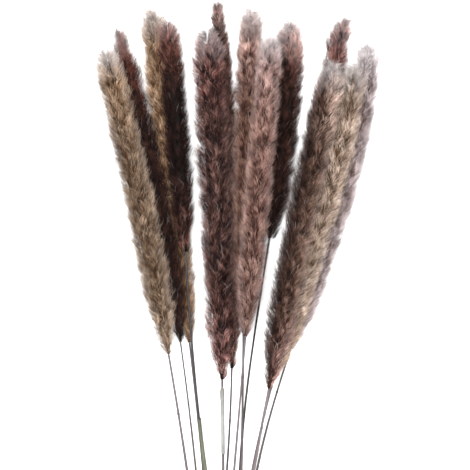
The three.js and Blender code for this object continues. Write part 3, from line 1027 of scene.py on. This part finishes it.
def plume_fibre_group():
    """Colour, roughness and height of plume strands, by their place on the strand and on the plume."""
    black = (0.0, 0.0, 0.0, 1.0)
    tree, given, result = new_group(
        "Plume fibre",
        [
            # Deep: the strand roots' own darker colour, with painted shade between the tufts.
            (TINT, "Deep", black),
            (TINT, "Body", black),
            (TINT, "Light", black),
            (TINT, "Top", black),
            (TINT, "Husk", black),
            (TINT, "Low tone", black),
            (TINT, "Middle tone", black),
            (TINT, "High tone", black),
            # Left tone and Right tone are painted light and shade on the plume's two sides.
            (TINT, "Left tone", black),
            (TINT, "Right tone", black),
            (NUMBER, "Top start", 0.9),
            (NUMBER, "Top pale", 0.5),
        ],
        [(TINT, "Colour"), (NUMBER, "Roughness"), (NUMBER, "Height")],
    )
    along, tuft, strand = tree.fact("along"), tree.fact("tuft"), tree.fact("strand")
    height, across, kind = tree.fact("height"), tree.fact("across"), tree.fact("kind")
    patch = tree.noise(tree.stretched(PATCH_GRAIN), 3.0, 0.6)
    patch = tree.maths("SUBTRACT", patch, 0.5)
    streak = tree.plus_share(tree.maths("MULTIPLY", tuft, TUFT_SHARE), strand, STRAND_SHARE)
    streak = tree.maths("SUBTRACT", streak, 0.5)
    streak = tree.plus_share(streak, patch, PATCH_STRENGTH)
    early = tree.plus_share(along, streak, EARLY_STREAKS)
    early = tree.plus_share(early, tree.is_kind(kind, DOWN), EARLY_DOWN)
    # Strand roots take the deep colour: their own darker colour and painted shade between the tufts.
    tint = tree.mix(tree.ramp(early, 0.05, 0.6), given["Deep"], given["Body"])
    tint = tree.mix(tree.ramp(early, 0.45, 1.15), tint, given["Light"])
    # Painted light and shade: the plume's left and right sides are tinted by its Left and Right tones.
    sides = tree.mix(tree.ramp(across, -0.8, 0.8), given["Left tone"], given["Right tone"])
    rise = tree.mix(tree.ramp(height, 0.0, 0.3), given["Low tone"], given["Middle tone"])
    rise = tree.mix(tree.ramp(height, 0.66, 1.0), rise, given["High tone"])
    tint = tree.times(tint, sides)
    tint = tree.times(tint, rise)
    tint = tree.scaled(tint, tree.plus_share(1.0, streak, TONE_CONTRAST))
    climb = tree.maths("SUBTRACT", height, given["Top start"])
    climb = tree.maths("DIVIDE", climb, tree.maths("SUBTRACT", 1.02, given["Top start"]), clamp=True)
    climb = tree.maths("MULTIPLY", climb, tree.plus_share(0.45, along, 0.55))
    climb = tree.maths("MULTIPLY", climb, tree.maths("ADD", 0.75, strand))
    tint = tree.mix(tree.maths("MULTIPLY", climb, given["Top pale"], clamp=True), tint, given["Top"])
    # Painted rim light: the plume's left and right flanks grow paler towards the strand ends.
    painted_side_light = tree.ramp(tree.maths("ABSOLUTE", across), 0.6, 1.0, 0.0, 0.3)
    painted_side_light = tree.maths("MULTIPLY", painted_side_light, tree.maths("POWER", given["Top pale"], 3.0))
    pale = tree.mix(0.5, given["Light"], given["Top"])
    tint = tree.mix(tree.maths("MULTIPLY", painted_side_light, along), tint, pale)
    tint = tree.mix(tree.maths("MULTIPLY", tree.is_kind(kind, BRISTLE), PALE_BRISTLE), tint, pale)
    tint = tree.mix(tree.maths("MULTIPLY", tree.is_kind(kind, HUSK), DARK_HUSK), tint, given["Husk"])
    # The inner body of branches is coloured darker than the strand roots: partly its own colour, partly
    # painted shade inside the fur.
    body_in_painted_shade = tree.scaled(given["Deep"], tree.ramp(tuft, 0.0, 1.0, 0.15, 0.7))
    tint = tree.mix(tree.is_kind(kind, BODY), tint, body_in_painted_shade)
    tree.join(tint, result["Colour"])
    tree.join(tree.ramp(along, 0.0, 1.0, 0.78, 0.58), result["Roughness"])
    tree.join(tree.noise(tree.stretched(FIBRE_GRAIN), 2.0), result["Height"])
    return tree.tree


def dry_streaks_group():
    """A mask and a height of fine dry streaks that run along a culm or a leaf, built once."""
    name = "Dry streaks"
    if name in bpy.data.node_groups:
        return bpy.data.node_groups[name]
    tree, given, result = new_group(
        name,
        [(NUMBER, "Fine", 1.0), (NUMBER, "Contrast", 1.0)],
        [(NUMBER, "Mask"), (NUMBER, "Height")],
    )
    fine = tree.noise(tree.stretched(FINE_STREAKS), 3.0, 0.6)
    broad = tree.noise(tree.stretched(BROAD_STREAKS), 2.0, 0.5)
    both = tree.maths("ADD", tree.maths("MULTIPLY", fine, given["Fine"]), broad)
    both = tree.maths("DIVIDE", both, tree.maths("ADD", given["Fine"], 1.0))
    spread = tree.maths("MULTIPLY", tree.maths("SUBTRACT", both, 0.5), given["Contrast"])
    tree.join(tree.maths("ADD", spread, 0.5, clamp=True), result["Mask"])
    tree.join(fine, result["Height"])
    return tree.tree


def opaque(rgb, tone=1.0):
    """A colour with full alpha, made lighter or darker."""
    return (*(min(1.0, channel * tone) for channel in rgb), 1.0)


def new_material(name):
    """A material with its shader, ready for its nodes."""
    material = bpy.data.materials.new(name)
    material.use_nodes = True
    tree = Tree(material.node_tree)
    shader = material.node_tree.nodes["Principled BSDF"]
    return material, tree, shader


def add_bump(tree, shader, height, strength, distance):
    """A bump from a height."""
    bump = tree.add("ShaderNodeBump")
    bump.inputs["Strength"].default_value = strength
    bump.inputs["Distance"].default_value = distance
    tree.join(height, bump.inputs["Height"])
    tree.join(bump.outputs["Normal"], shader.inputs["Normal"])


def plume_material(number, look, colours, group):
    """The strands' material of one plume."""
    material, tree, shader = new_material(f"Plume strands {number}")
    fibre = tree.add("ShaderNodeGroup", node_tree=group)
    # The deep colour carries painted shade between the tufts as well as the roots' own colour.
    for part in ("deep", "body", "light"):
        tint = getattr(colours, f"{look.colours}_{part}")
        own = [channel * factor for channel, factor in zip(tint, look.tint)]
        fibre.inputs[part.capitalize()].default_value = opaque(own)
    fibre.inputs["Top"].default_value = opaque(colours.top)
    fibre.inputs["Husk"].default_value = opaque(colours.husk)
    # left and right are painted light and shade on the plume's sides.
    for part in ("low", "middle", "high", "left", "right"):
        tone = np.broadcast_to(getattr(look, part), 3)
        fibre.inputs[f"{part.capitalize()} tone"].default_value = (*tone.tolist(), 1.0)
    fibre.inputs["Top start"].default_value = look.top_start
    fibre.inputs["Top pale"].default_value = look.top_pale
    tree.join(fibre.outputs["Colour"], shader.inputs["Base Color"])
    tree.join(fibre.outputs["Roughness"], shader.inputs["Roughness"])
    shader.inputs["Specular IOR Level"].default_value = 0.12
    add_bump(tree, shader, fibre.outputs["Height"], 0.2, 0.1 * MM)
    return material


def culm_material(number, look, colours, group):
    """A culm's material: grey with purple streaks, greener low down, dark at joints, pale inside, with
    painted shade along its sides and a painted highlight down its middle.
    """
    material, tree, shader = new_material(f"Dry culm {number}")
    streaks = tree.add("ShaderNodeGroup", node_tree=group)
    streaks.inputs["Fine"].default_value = 1.2
    streaks.inputs["Contrast"].default_value = 3.0
    grey, purple = opaque(colours.grey, look.culm_tone), opaque(colours.purple, look.culm_tone)
    tint = tree.mix(streaks.outputs["Mask"], purple, grey)
    greener = tree.ramp(tree.fact("height"), 0.1, 0.5, look.green, 0.0)
    tint = tree.mix(greener, tint, opaque(colours.green))
    # Painted shade and highlight: the culm darkens towards its sides and lightens down its middle.
    painted_side_light = tree.maths("ABSOLUTE", tree.fact("across"))
    tint = tree.scaled(tint, tree.ramp(painted_side_light, 0.45, 0.95, 1.15, 0.7))
    tint = tree.mix(tree.ramp(tree.fact("tuft"), 0.45, 1.0, 0.0, 0.75), tint, opaque(colours.scar))
    tint = tree.mix(tree.fact("strand"), tint, opaque(colours.pith))
    tree.join(tint, shader.inputs["Base Color"])
    tree.join(tree.ramp(streaks.outputs["Mask"], 0.2, 0.8, 0.62, 0.45), shader.inputs["Roughness"])
    shader.inputs["Specular IOR Level"].default_value = 0.25
    add_bump(tree, shader, streaks.outputs["Height"], 0.25, 0.1 * MM)
    return material


def sheath_material(name, leaf, edge, group, rough):
    """A dry leaf's material: streaks along it, browner at its edges and its torn mouth, with painted shade
    towards its +X side.
    """
    material, tree, shader = new_material(name)
    streaks = tree.add("ShaderNodeGroup", node_tree=group)
    streaks.inputs["Fine"].default_value = 1.0
    streaks.inputs["Contrast"].default_value = 3.0
    tint = tree.mix(streaks.outputs["Mask"], opaque(leaf, 0.5), opaque(leaf, 1.25))
    mouth = tree.ramp(tree.fact("along"), 0.88, 1.0, 0.0, 0.7)
    rim = tree.maths("ABSOLUTE", tree.maths("SUBTRACT", tree.fact("tuft"), 0.5))
    rim = tree.ramp(rim, 0.44, 0.5, 0.0, 0.8)
    # Painted shade: the leaf darkens towards its +X side, in the colour of its dry edge.
    painted_side_light = tree.ramp(tree.fact("across"), 0.35, 0.95, 0.0, 0.6)
    tint = tree.mix(tree.maths("MAXIMUM", tree.maths("MAXIMUM", mouth, rim), painted_side_light), tint, opaque(edge))
    tree.join(tint, shader.inputs["Base Color"])
    dull = tree.ramp(streaks.outputs["Mask"], 0.2, 0.8, rough + 0.1, rough - 0.1)
    tree.join(dull, shader.inputs["Roughness"])
    add_bump(tree, shader, streaks.outputs["Height"], 0.35, 0.1 * MM)
    return material


def floor_material(tint):
    """A plain pale floor with a barely seen mottle."""
    material, tree, shader = new_material("Pale floor")
    mottle = tree.noise(tree.stretched(FLOOR_MOTTLE), 3.0)
    tree.join(tree.mix(mottle, opaque(tint, 0.995), opaque(tint, 1.005)), shader.inputs["Base Color"])
    shader.inputs["Roughness"].default_value = 0.9
    shader.inputs["Specular IOR Level"].default_value = 0.1
    return material


# ---------------------------------------------------------------- stage


def lay_floor(scene, stage):
    """A wide floor under the bundle."""
    mesh = bpy.data.meshes.new("pale_floor")
    half = stage.floor_size / 2.0
    corners = [(-half, -half, 0.0), (half, -half, 0.0), (half, half, 0.0), (-half, half, 0.0)]
    mesh.from_pydata(corners, [], [(0, 1, 2, 3)])
    mesh.materials.append(floor_material(stage.floor_colour))
    floor = bpy.data.objects.new("pale_floor", mesh)
    scene.collection.objects.link(floor)


def light_stage(scene, stage, middle):
    """Even light from all round and one large soft light from above."""
    world = bpy.data.worlds.new("Even light")
    world.use_nodes = True
    sky = world.node_tree.nodes["Background"]
    sky.inputs["Color"].default_value = (1.0, 1.0, 1.0, 1.0)
    sky.inputs["Strength"].default_value = stage.sky
    scene.world = world

    lamp = bpy.data.lights.new("Soft key", "AREA")
    lamp.shape = "DISK"
    lamp.size = stage.key_size
    lamp.energy = stage.key_power
    key = bpy.data.objects.new("Soft key", lamp)
    key.location = middle + Vector(KEY_PLACE)
    key.rotation_mode = "QUATERNION"
    key.rotation_quaternion = (middle - key.location).to_track_quat("-Z", "Y")
    scene.collection.objects.link(key)


def aim_camera(scene, stage, middle):
    """A camera that looks straight down."""
    lens = bpy.data.cameras.new("Camera from above")
    lens.sensor_width = SENSOR_WIDTH
    lens.lens = SENSOR_WIDTH * stage.camera_height / stage.view_width
    lens.clip_end = FAR_END
    camera = bpy.data.objects.new("Camera from above", lens)
    camera.location = middle + Vector((0.0, 0.0, stage.camera_height))
    scene.collection.objects.link(camera)
    scene.camera = camera
    scene.view_settings.view_transform = "Standard"
    scene.view_settings.look = "None"


# ---------------------------------------------------------------- operators


class PAMPAS_OT_plumes(Operator):
    """Grow the thirteen feathery plumes"""

    bl_idname = "pampas.plumes"
    bl_label = "Grow plumes"

    def execute(self, context):
        settings = context.scene.pampas_plume_shape
        colours = context.scene.pampas_plume_colours
        group = plume_fibre_group()
        for number, look in GRASSES.items():
            build_plume(number, look, settings, plume_material(number, look, colours, group))
        return {"FINISHED"}


class PAMPAS_OT_culms(Operator):
    """Make the thirteen culms"""

    bl_idname = "pampas.culms"
    bl_label = "Make culms"

    def execute(self, context):
        scene = context.scene
        group = dry_streaks_group()
        for number, look in GRASSES.items():
            material = culm_material(number, look, scene.pampas_culm_colours, group)
            build_culm(number, look, scene.pampas_culm_shape, material)
        return {"FINISHED"}


class PAMPAS_OT_sheaths(Operator):
    """Wrap the two leaf sheaths round their culms"""

    bl_idname = "pampas.sheaths"
    bl_label = "Wrap sheaths"

    def execute(self, context):
        scene = context.scene
        shape, colours = scene.pampas_sheath_shape, scene.pampas_culm_colours
        group = dry_streaks_group()
        green = sheath_material("Green sheath", colours.sheath_green, colours.sheath_edge, group, 0.55)
        paper = sheath_material("Papery sheath", colours.paper, colours.paper_edge, group, 0.7)
        green_lobes = ((0.1, 1.0, 0.12), (0.5, 0.35, 0.1), (0.93, 0.8, 0.1))
        paper_lobes = ((0.0, 1.6, 0.16), (0.32, 0.5, 0.07), (0.7, 0.9, 0.1), (1.0, 1.9, 0.14))
        build_sheath("04", "green_sheath_04", shape, green, math.radians(60.0), green_lobes, 41)
        build_sheath("05", "papery_sheath_05", shape, paper, math.radians(95.0), paper_lobes, 51)
        return {"FINISHED"}


class PAMPAS_OT_stage(Operator):
    """Set up the floor, the soft light and the camera that looks down on the bundle"""

    bl_idname = "pampas.stage"
    bl_label = "Set up stage"

    def execute(self, context):
        scene = context.scene
        stage = scene.pampas_stage
        low, high = CAD_BOX
        middle = (low + high) / 2.0
        middle.x += VIEW_SHIFT_X
        middle.y = low.y + VIEW_RISE_Y
        lay_floor(scene, stage)
        light_stage(scene, stage, middle)
        aim_camera(scene, stage, middle)
        return {"FINISHED"}


class PAMPAS_PT_bundle(Panel):
    """Lists what builds the bundle"""

    bl_idname = "PAMPAS_PT_bundle"
    bl_label = "Pampas bundle"
    bl_space_type = "VIEW_3D"
    bl_region_type = "UI"
    bl_category = "Pampas"

    def draw(self, context):
        layout = self.layout
        for operator in (PAMPAS_OT_stage, PAMPAS_OT_plumes, PAMPAS_OT_culms, PAMPAS_OT_sheaths):
            layout.operator(operator.bl_idname)
        for name in SETTINGS:
            group = getattr(context.scene, name)
            box = layout.box()
            for key in group.__annotations__:
                box.prop(group, key)


SETTINGS = {
    "pampas_plume_shape": PlumeShape,
    "pampas_plume_colours": PlumeColours,
    "pampas_culm_shape": CulmShape,
    "pampas_culm_colours": CulmColours,
    "pampas_sheath_shape": SheathShape,
    "pampas_stage": StageSettings,
}
CLASSES = (
    *SETTINGS.values(),
    PAMPAS_OT_stage,
    PAMPAS_OT_plumes,
    PAMPAS_OT_culms,
    PAMPAS_OT_sheaths,
    PAMPAS_PT_bundle,
)


def register():
    for made in CLASSES:
        bpy.utils.register_class(made)
    for name, group in SETTINGS.items():
        setattr(bpy.types.Scene, name, PointerProperty(type=group))


def unregister():
    for name in SETTINGS:
        delattr(bpy.types.Scene, name)
    for made in reversed(CLASSES):
        bpy.utils.unregister_class(made)


def main():
    """Builds everything."""
    register()
    bpy.ops.pampas.stage()
    bpy.ops.pampas.plumes()
    bpy.ops.pampas.culms()
    bpy.ops.pampas.sheaths()


if __name__ == "__main__":
    main()
